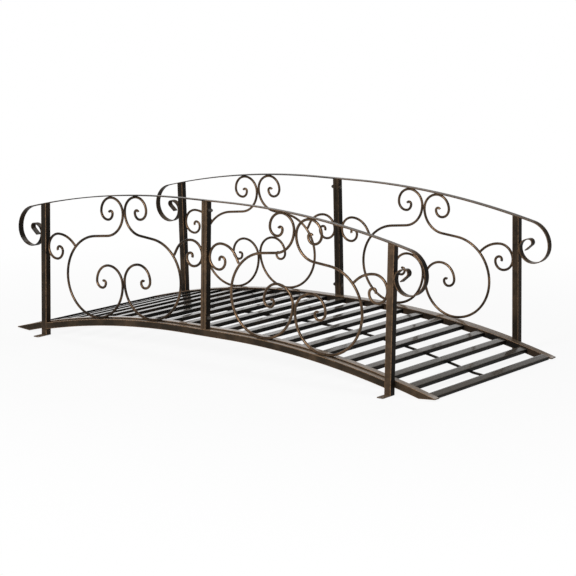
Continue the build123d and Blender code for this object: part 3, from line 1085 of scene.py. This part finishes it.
def nut_tree():
    """Washers and six-sided nuts with domed caps, standing up from their spots."""
    build = Tree("Cap nuts", "GeometryNodeTree")
    build.take("Spots", "NodeSocketGeometry")
    build.take("Bolt diameter", "NodeSocketFloat", sizes().bolt_size)
    build.take("Body height", "NodeSocketFloat", sizes().nut_body)
    build.take("Dome height", "NodeSocketFloat", sizes().nut_dome)
    build.take("Coat", "NodeSocketMaterial")
    build.give("Nuts", "NodeSocketGeometry")
    given = build.add("NodeGroupInput").outputs
    body_height = given["Body height"]

    def of_bolt(share):
        return build.math("MULTIPLY", given["Bolt diameter"], share)

    def cylinder(sides, share, depth):
        inputs = {"Vertices": sides, "Radius": of_bolt(share), "Depth": depth}
        return build.add("GeometryNodeMeshCylinder", inputs).outputs["Mesh"]

    thin = of_bolt(WASHER_DEPTH_SHARE)
    washer = cylinder(WASHER_SIDES, WASHER_RADIUS_SHARE, thin)
    body = cylinder(NUT_SIDES, NUT_RADIUS_SHARE, body_height)
    crown = build.add("GeometryNodeMeshCone", {
        "Vertices": NUT_SIDES, "Radius Top": of_bolt(CROWN_RADIUS_SHARE),
        "Radius Bottom": of_bolt(NUT_RADIUS_SHARE), "Depth": of_bolt(CROWN_DEPTH_SHARE),
    }).outputs["Mesh"]
    unit = {"Segments": DOME_SIDES, "Rings": DOME_RINGS, "Radius": 1.0}
    ball = build.add("GeometryNodeMeshUVSphere", unit).outputs["Mesh"]
    round_by = of_bolt(DOME_RADIUS_SHARE)
    size = build.add("ShaderNodeCombineXYZ", {"X": round_by, "Y": round_by, "Z": given["Dome height"]})
    dome = build.add("GeometryNodeTransform", {"Geometry": ball, "Scale": size.outputs[0]}).outputs[0]
    washer_middle = build.math("MULTIPLY", thin, 0.5)
    body_middle = build.math("ADD", thin, build.math("MULTIPLY", body_height, 0.5))
    body_top = build.math("ADD", thin, body_height)
    whole = build.add("GeometryNodeJoinGeometry")
    stack = ((washer, washer_middle), (body, body_middle), (crown, body_top), (dome, body_top))
    for mesh, height in stack:
        rise = build.add("ShaderNodeCombineXYZ", {"Z": height})
        lifted = build.add("GeometryNodeTransform", {"Geometry": mesh, "Translation": rise.outputs[0]})
        build.link(lifted.outputs[0], whole.inputs[0])
    placed = set_on_spots(build, given["Spots"], whole.outputs[0])
    build.end_coated("Nuts", placed, given["Coat"])
    return build


class BRIDGE_OT_bolts(bpy.types.Operator):
    """Sets the bolts that hold the halves of the middle posts together"""
    bl_idname = "bridge.bolts"
    bl_label = "Bolts"

    def execute(self, context):
        build = nut_tree()
        material = bolt_coat()
        high = sizes().handrail_height - sizes().handrail_depth - sizes().bolt_high
        heights = (sizes().rail_height + sizes().bolt_low, high)
        nut = (sizes().nut_body, sizes().nut_dome)
        head = (sizes().head_body, sizes().head_dome)
        for side_name, side in SIDES.items():
            for kind, facing, (body, dome) in (("nuts", -side, nut), ("heads", side, head)):
                name = f"{side_name}_mid_post_{kind}"
                spots = [(facing * POST_SIZE / 2, z, -facing * pi / 2) for z in heights]
                nuts = grow(name, spot_mesh(name, spots, 1), build, {
                    "Bolt diameter": sizes().bolt_size, "Body height": body,
                    "Dome height": dome, "Coat": material,
                })
                shade(nuts.data, EDGE_SHARP)
                lean_in(nuts, side, railing_y())
                seat(nuts, "bronze_tube", f"{side_name}_left_mid_post", f"{side_name}_right_mid_post")
        return {"FINISHED"}


def bead_tree():
    """Lumpy weld beads on their spots, each a little different."""
    build = Tree("Weld beads", "GeometryNodeTree")
    build.take("Spots", "NodeSocketGeometry")
    build.take("Bead length", "NodeSocketFloat", sizes().weld_size)
    build.take("Seed", "NodeSocketInt", BEAD_SEED)
    build.take("Coat", "NodeSocketMaterial")
    build.give("Beads", "NodeSocketGeometry")
    given = build.add("NodeGroupInput").outputs
    half = build.math("MULTIPLY", given["Bead length"], 0.5)
    size = {"Segments": BEAD_SIDES, "Rings": BEAD_RINGS, "Radius": half}
    ball = build.add("GeometryNodeMeshUVSphere", size).outputs["Mesh"]
    pressed = build.add("GeometryNodeTransform", {"Geometry": ball, "Scale": BEAD_SHARES}).outputs[0]
    place = build.add("GeometryNodeInputPosition").outputs[0]
    lump = sizes().weld_lump
    bumpy = noise(build.tree, place, LUMP_SCALE, detail=1.0)
    height = spread(build.tree, bumpy, (0.0, 1.0), (-lump, lump))
    outward = build.add("GeometryNodeInputNormal").outputs[0]
    push = build.add("ShaderNodeVectorMath", {0: outward, "Scale": height}, operation="SCALE").outputs[0]
    lumpy = build.add("GeometryNodeSetPosition", {"Geometry": pressed, "Offset": push}).outputs[0]
    vary = build.add("FunctionNodeRandomValue", {
        0: BEAD_LEAST_SHARES, 1: BEAD_MOST_SHARES, "Seed": given["Seed"],
    }, data_type="FLOAT_VECTOR")
    placed = set_on_spots(build, given["Spots"], lumpy, vary.outputs[0])
    build.end_coated("Beads", placed, given["Coat"])
    return build


def rail_touches(hand):
    """Where one S scroll meets the handrail above it and the bottom rail below it."""
    radius, touch_z = fit_scroll(hand)
    first, second = UPPER_CURL_SHARES[0][0], UPPER_CURL_SHARES[1][0]
    foot_z = touch_z - shoulder_drop_share() * radius
    top_u = panel_middle() + hand * (rod_reach() + first * radius)
    foot_u = panel_middle() + hand * (rod_reach() + LOOP_INNER_SHARE * radius)
    if hand > 0:
        top_z, top_size = touch_z + (first - second) * radius, second * radius
        foot_z -= (LOOP_OUTER_SHARE - LOOP_INNER_SHARE) * radius
        foot_size = LOOP_INNER_SHARE * radius
    else:
        top_z, top_size = touch_z, first * radius
        foot_size = LOOP_OUTER_SHARE * radius
    spots = []
    for u, z, size in ((top_u, top_z, top_size), (foot_u, foot_z, -foot_size)):
        slope = arch_slope(0, u)
        reach = size + rod_reach() * (1 if size > 0 else -1)
        spots.append((u + reach * sin(slope), z + reach * cos(slope), -slope))
    return spots


def weld_spots():
    """The places and angles of one quarter's weld beads."""
    fits = [fit_scroll(hand) for hand in HANDS.values()]
    upper = sum(touch for _, touch in fits) / len(fits)
    lower = sum(touch - shoulder_drop_share() * radius for radius, touch in fits) / len(fits)
    spots = [(panel_middle(), upper, pi / 2), (panel_middle(), lower, pi / 2)]
    for name, hand in HANDS.items():
        spots += rail_touches(hand)
        curl = side_curl_path(name)
        u, z, angle = curl[0]
        back = sizes().rod_size / 3
        spots.append((u - back * cos(angle), z - back * sin(angle), angle + pi / 2))
        u, z, _ = max(curl, key=lambda point: hand * point[0])
        spots.append((u + hand * rod_reach(), z, pi / 2))
    rolled = [point for point in handrail_path() if point[0] > post_high.x and point[2] < -pi / 2]
    u, z, _ = min(rolled)
    spots.append((u - sizes().handrail_depth / 2, z, pi / 2))
    return spots


class BRIDGE_OT_welds(bpy.types.Operator):
    """Lays the weld beads where the rods meet each other, the rails and the posts"""
    bl_idname = "bridge.welds"
    bl_label = "Weld beads"

    def execute(self, context):
        build = bead_tree()
        spots = weld_spots()
        values = {"Bead length": sizes().weld_size, "Seed": BEAD_SEED, "Coat": rod_coat()}
        for quarter, side, end in quarters():
            name = f"{quarter}_weld_beads"
            beads = grow(name, spot_mesh(name, spots, end), build, values)
            shade(beads.data, BEAD_SHARP)
            lean_in(beads, side, railing_y())
            seat(beads, "bronze_rod", f"{quarter}_scrolls")
        return {"FINISHED"}


# Materials

def pattern_group(name, inputs, outputs):
    """A new shader group with its named sockets, and its inputs."""
    build = Tree(name, "ShaderNodeTree")
    for label, socket, default in inputs:
        build.take(label, socket, default)
    for label, socket in outputs:
        build.give(label, socket)
    return build, build.add("NodeGroupInput").outputs


def rubbed_group():
    """Bronze rubbed through along the edges and in soft patches: a mask."""
    name = "Rubbed bronze"
    if name in bpy.data.node_groups:
        return bpy.data.node_groups[name]
    build, given = pattern_group(
        name,
        [
            ("Vector", "NodeSocketVector", None), ("Edge distance", "NodeSocketFloat", 0.0),
            ("Rub width", "NodeSocketFloat", 1.6 * MM), ("Edge amount", "NodeSocketFloat", 0.8),
            ("Patch scale", "NodeSocketFloat", 14.0), ("Patch amount", "NodeSocketFloat", 0.3),
        ],
        [("Rub", "NodeSocketFloat")],
    )
    tree, vector = build.tree, given["Vector"]
    ragged = noise(tree, vector, scale=160.0, detail=3.0, roughness=0.6)
    width = build.math("MULTIPLY", ragged, given["Rub width"])
    double = build.math("MULTIPLY", width, 2.0)
    soft = {"interpolation_type": "SMOOTHSTEP"}
    close = spread(tree, given["Edge distance"], (0.0, double), (1.0, 0.0), **soft)
    edge = build.math("MULTIPLY", close, given["Edge amount"])
    cloud = noise(tree, vector, scale=given["Patch scale"], detail=4.0, roughness=0.55)
    clear = spread(tree, cloud, (0.42, 0.68), (0.0, 1.0), **soft)
    patch = build.math("MULTIPLY", clear, given["Patch amount"])
    build.add("NodeGroupOutput", {"Rub": build.math("MAXIMUM", edge, patch)})
    return tree


def brushed_group():
    """Fine strokes drawn out along one direction: a value about a half."""
    name = "Brushed strokes"
    if name in bpy.data.node_groups:
        return bpy.data.node_groups[name]
    build, given = pattern_group(
        name,
        [
            ("Vector", "NodeSocketVector", None), ("Stretch", "NodeSocketVector", (1.0, 1.0, 1.0)),
            ("Scale", "NodeSocketFloat", 60.0),
        ],
        [("Stroke", "NodeSocketFloat")],
    )
    factors = {0: given["Vector"], 1: given["Stretch"]}
    drawn = build.add("ShaderNodeVectorMath", factors, operation="MULTIPLY")
    stroke = noise(build.tree, drawn.outputs[0], scale=given["Scale"], detail=5.0, roughness=0.65)
    build.add("NodeGroupOutput", {"Stroke": stroke})
    return build.tree


def grain_group():
    """The fine orange-peel of a baked coat: a height."""
    name = "Coat grain"
    if name in bpy.data.node_groups:
        return bpy.data.node_groups[name]
    build, given = pattern_group(
        name,
        [("Vector", "NodeSocketVector", None), ("Scale", "NodeSocketFloat", 700.0)],
        [("Height", "NodeSocketFloat")],
    )
    build.add("NodeGroupOutput", {"Height": noise(build.tree, given["Vector"], given["Scale"], detail=2.0)})
    return build.tree


def attribute(tree, name):
    """A number that the mesh's points carry."""
    return add_node(tree, "ShaderNodeAttribute", attribute_name=name).outputs["Fac"]


def blend(tree, factor, first, second):
    """A mix of two colours; they are the mix node's inputs 6 and 7, and its output 2."""
    inputs = {"Factor": factor, 6: first, 7: second}
    return add_node(tree, "ShaderNodeMix", inputs, data_type="RGBA").outputs[2]


def coat(name, base, look):
    """A baked metal coat: base colour with rubbed bronze, brushed strokes and fine grain, plus painted
    shade, a painted bronze sheen and a painted highlight on upper faces.
    """
    if name in bpy.data.materials:
        return bpy.data.materials[name]
    material = bpy.data.materials.new(name)
    material.use_nodes = True
    tree = material.node_tree
    shader = tree.nodes["Principled BSDF"]
    vector = tree.nodes.new("ShaderNodeTexCoord").outputs["Object"]
    worn = add_node(tree, "ShaderNodeGroup", {
        "Vector": vector, "Edge distance": attribute(tree, "edge"),
        "Rub width": look["rub_width"], "Edge amount": look["edge_amount"],
        "Patch scale": look["patch_scale"], "Patch amount": look["patch_amount"],
    }, node_tree=rubbed_group()).outputs[0]
    stroke = add_node(tree, "ShaderNodeGroup", {
        "Vector": vector, "Stretch": look["stretch"], "Scale": look["stroke_scale"],
    }, node_tree=brushed_group()).outputs[0]
    grain = add_node(tree, "ShaderNodeGroup", {
        "Vector": vector, "Scale": look["grain_scale"],
    }, node_tree=grain_group()).outputs[0]

    strength = spread(tree, stroke, STROKE_RANGE, STROKE_RUB)
    # Rubbed bronze from real wear at edges and in patches, plus painted sheen where points carry it.
    rubbed = math_node(tree, "MULTIPLY_ADD", attribute(tree, "painted_sheen"), PAINTED_SHEEN_RUB, worn)
    mask = math_node(tree, "MULTIPLY", rubbed, strength, use_clamp=True)
    # Painted shade: the base colour darkened towards the slat colour where points are marked for it.
    dull = blend(tree, attribute(tree, "painted_shade"), (*base, 1), (*finish().slat, 1))
    bronze = blend(tree, mask, dull, (*finish().rub, 1))

    # Painted highlight: upper faces take the lighter upper colour, with a smoother coat on them too.
    top_sheen_strength = spread(tree, stroke, STROKE_RANGE, (TOP_LEAST_SHARE * look["top_sheen"], look["top_sheen"]))
    top_sheen = math_node(tree, "MULTIPLY", attribute(tree, "top"), top_sheen_strength, use_clamp=True)
    pale = blend(tree, top_sheen, bronze, (*look["upper"], 1))
    gloss = spread(tree, stroke, STROKE_RANGE, (look["smooth"], look["rough"]))
    metal = math_node(tree, "MULTIPLY_ADD", mask, look["metal"], look["metal_base"], use_clamp=True)
    bumps = {"Height": grain, "Strength": look["bump"], "Distance": GRAIN_HEIGHT}
    bump = add_node(tree, "ShaderNodeBump", bumps).outputs[0]

    tree.links.new(pale, shader.inputs["Base Color"])
    tree.links.new(top_sheen, shader.inputs["Coat Weight"])
    tree.links.new(gloss, shader.inputs["Roughness"])
    tree.links.new(metal, shader.inputs["Metallic"])
    tree.links.new(bump, shader.inputs["Normal"])
    shader.inputs["Coat Roughness"].default_value = TOP_ROUGHNESS
    shader.inputs["Specular IOR Level"].default_value = look["gloss"]
    return material


def tube_coat():
    return coat("Antique bronze tube", finish().dark, {
        "rub_width": 3.2 * MM, "edge_amount": 0.7, "patch_scale": 9.0, "patch_amount": 0.1,
        "stretch": (1.0, 6.0, 1.0), "stroke_scale": 40.0, "grain_scale": 900.0, "bump": 0.25,
        # The upper colour and the top sheen paint a highlight on the upper faces.
        "smooth": 0.34, "rough": 0.5, "upper": finish().painted_sheen, "top_sheen": 0.9,
        "metal": 0.15, "metal_base": 0.0, "gloss": 0.04,
    })


def rail_coat():
    return coat("Antique bronze flat bar", finish().bar, {
        "rub_width": 1.9 * MM, "edge_amount": 0.75, "patch_scale": 11.0, "patch_amount": 0.12,
        "stretch": (1.0, 8.0, 1.0), "stroke_scale": 45.0, "grain_scale": 900.0, "bump": 0.25,
        # The upper colour and the top sheen paint a highlight on the upper faces.
        "smooth": 0.32, "rough": 0.46, "upper": finish().painted_sheen, "top_sheen": 0.3,
        "metal": 0.4, "metal_base": 0.0, "gloss": 0.03,
    })


def rod_coat():
    return coat("Antique bronze rod", finish().rod, {
        "rub_width": 0.01 * MM, "edge_amount": 0.0, "patch_scale": 16.0, "patch_amount": 0.3,
        "stretch": (1.0, 1.0, 1.0), "stroke_scale": 120.0, "grain_scale": 1000.0, "bump": 0.25,
        "smooth": 0.26, "rough": 0.4, "upper": finish().rod, "top_sheen": 0.0,
        "metal": 0.3, "metal_base": 0.7, "gloss": 0.08,
    })


def bolt_coat():
    return coat("Dark bolt coat", finish().zinc, {
        "rub_width": 0.01 * MM, "edge_amount": 0.0, "patch_scale": 60.0, "patch_amount": 0.12,
        "stretch": (1.0, 1.0, 1.0), "stroke_scale": 200.0, "grain_scale": 1200.0, "bump": 0.2,
        "smooth": 0.3, "rough": 0.45, "upper": finish().zinc, "top_sheen": 0.0,
        "metal": 0.4, "metal_base": 0.0, "gloss": 0.2,
    })


def slat_coat():
    return coat("Dark slat coat", finish().slat, {
        "rub_width": 0.9 * MM, "edge_amount": 0.16, "patch_scale": 8.0, "patch_amount": 0.05,
        "stretch": (6.0, 0.6, 6.0), "stroke_scale": 30.0, "grain_scale": 900.0, "bump": 0.2,
        # The upper colour and the top sheen paint a highlight on the upper faces.
        "smooth": 0.26, "rough": 0.38, "upper": finish().slat_top_highlight, "top_sheen": 1.0,
        "metal": 0.4, "metal_base": 0.0, "gloss": 0.03,
    })


# Stage

class BRIDGE_OT_stage(bpy.types.Operator):
    """Sets the pale floor, the soft light and the camera"""
    bl_idname = "bridge.stage"
    bl_label = "Stage"

    def execute(self, context):
        scene = context.scene
        scene.view_settings.view_transform = "Standard"
        self.floor()
        self.world(scene)
        self.lamp("key", studio().key_place, studio().key_size, studio().key_power)
        self.lamp("top", studio().top_place, studio().top_size, studio().top_power)
        scene.camera = self.camera()
        return {"FINISHED"}

    def camera(self):
        lens = bpy.data.cameras.new("camera")
        lens.sensor_width = studio().camera_sensor
        lens.lens = studio().camera_lens
        lens.clip_end = studio().camera_range
        eye = add_object("camera", lens)
        eye.location = studio().camera_place
        turn = Matrix.Rotation(studio().camera_turn, 3, "Z")
        tilt = Matrix.Rotation(pi / 2 - studio().camera_tilt, 3, "X")
        roll = Matrix.Rotation(studio().camera_roll, 3, "Z")
        eye.rotation_euler = (turn @ tilt @ roll).to_euler()
        return eye

    def floor(self):
        reach = studio().floor_reach
        corners = [(-reach, -reach, 0), (reach, -reach, 0), (reach, reach, 0), (-reach, reach, 0)]
        mesh = bpy.data.meshes.new("floor")
        mesh.from_pydata(corners, [], [(0, 1, 2, 3)])
        material = bpy.data.materials.new("Pale floor")
        material.use_nodes = True
        tree = material.node_tree
        shader = tree.nodes["Principled BSDF"]
        shader.inputs["Base Color"].default_value = (*finish().floor, 1)
        shader.inputs["Roughness"].default_value = studio().floor_roughness
        place = tree.nodes.new("ShaderNodeTexCoord").outputs["Object"]
        away = add_node(tree, "ShaderNodeVectorMath", {0: place}, operation="LENGTH").outputs["Value"]
        bounds = (studio().glow_start, studio().glow_full)
        share = spread(tree, away, bounds, (studio().floor_glow, 1.0))
        white = math_node(tree, "MULTIPLY", self.seen(tree), share)
        glow = add_node(tree, "ShaderNodeEmission", {"Color": (1, 1, 1, 1), "Strength": 1})
        mixed = {0: white, 1: shader.outputs[0], 2: glow.outputs[0]}
        mix = add_node(tree, "ShaderNodeMixShader", mixed)
        tree.links.new(mix.outputs[0], tree.nodes["Material Output"].inputs["Surface"])
        mesh.materials.append(material)
        add_object("floor", mesh)

    def world(self, scene):
        """Walls that glow where they are seen, a dim ceiling above them, and an even fill."""
        world = bpy.data.worlds.new("studio")
        scene.world = world
        world.use_nodes = True
        tree = world.node_tree
        light = tree.nodes["Background"]
        light.inputs["Color"].default_value = (1, 1, 1, 1)
        way = tree.nodes.new("ShaderNodeTexCoord").outputs["Generated"]
        rise = add_node(tree, "ShaderNodeSeparateXYZ", {0: way}).outputs["Z"]
        edges = (sin(studio().wall_top), sin(studio().ceiling_start))
        glow = spread(tree, rise, edges, (studio().wall_glow, studio().ceiling_glow))
        level = spread(tree, self.seen(tree), (0.0, 1.0), (studio().fill, glow))
        tree.links.new(level, light.inputs["Strength"])

    def seen(self, tree):
        """One for rays from the camera, a reflection or a clear piece, else zero."""
        ray = tree.nodes.new("ShaderNodeLightPath").outputs
        eye = math_node(tree, "MAXIMUM", ray["Is Camera Ray"], ray["Is Glossy Ray"])
        return math_node(tree, "MAXIMUM", eye, ray["Is Transmission Ray"])

    def lamp(self, name, place, size, power):
        light = bpy.data.lights.new(name, "AREA")
        light.energy = power
        light.size = size
        lamp = add_object(name, light)
        lamp.location = place
        lamp.rotation_euler = (studio().lamp_aim - place).to_track_quat("-Z", "Y").to_euler()


class BRIDGE_PT_panel(bpy.types.Panel):
    """Lists the bridge's steps, sizes and colours, and the stage"""
    bl_idname = "BRIDGE_PT_panel"
    bl_label = "Garden Bridge"
    bl_space_type = "VIEW_3D"
    bl_region_type = "UI"
    bl_category = "Bridge"

    def draw(self, context):
        for step in STEPS:
            self.layout.operator(step.bl_idname)
        for group in (sizes(), finish(), studio()):
            for name in group.bl_rna.properties.keys():
                if name not in ("rna_type", "name"):
                    self.layout.prop(group, name)


STEPS = (
    BRIDGE_OT_posts, BRIDGE_OT_rails, BRIDGE_OT_beams, BRIDGE_OT_deck, BRIDGE_OT_handrails,
    BRIDGE_OT_scrolls, BRIDGE_OT_feet, BRIDGE_OT_bolts, BRIDGE_OT_welds, BRIDGE_OT_stage,
)
CLASSES = (BridgeSizes, BridgeFinish, BridgeStage, *STEPS, BRIDGE_PT_panel)


def register():
    for kind in CLASSES:
        bpy.utils.register_class(kind)
    bpy.types.Scene.bridge_sizes = bpy.props.PointerProperty(type=BridgeSizes)
    bpy.types.Scene.bridge_finish = bpy.props.PointerProperty(type=BridgeFinish)
    bpy.types.Scene.bridge_stage = bpy.props.PointerProperty(type=BridgeStage)


def unregister():
    del bpy.types.Scene.bridge_stage
    del bpy.types.Scene.bridge_finish
    del bpy.types.Scene.bridge_sizes
    for kind in reversed(CLASSES):
        bpy.utils.unregister_class(kind)


def main():
    register()
    for step in STEPS:
        group, name = step.bl_idname.split(".")
        getattr(getattr(bpy.ops, group), name)()


if __name__ == "__main__":
    main()
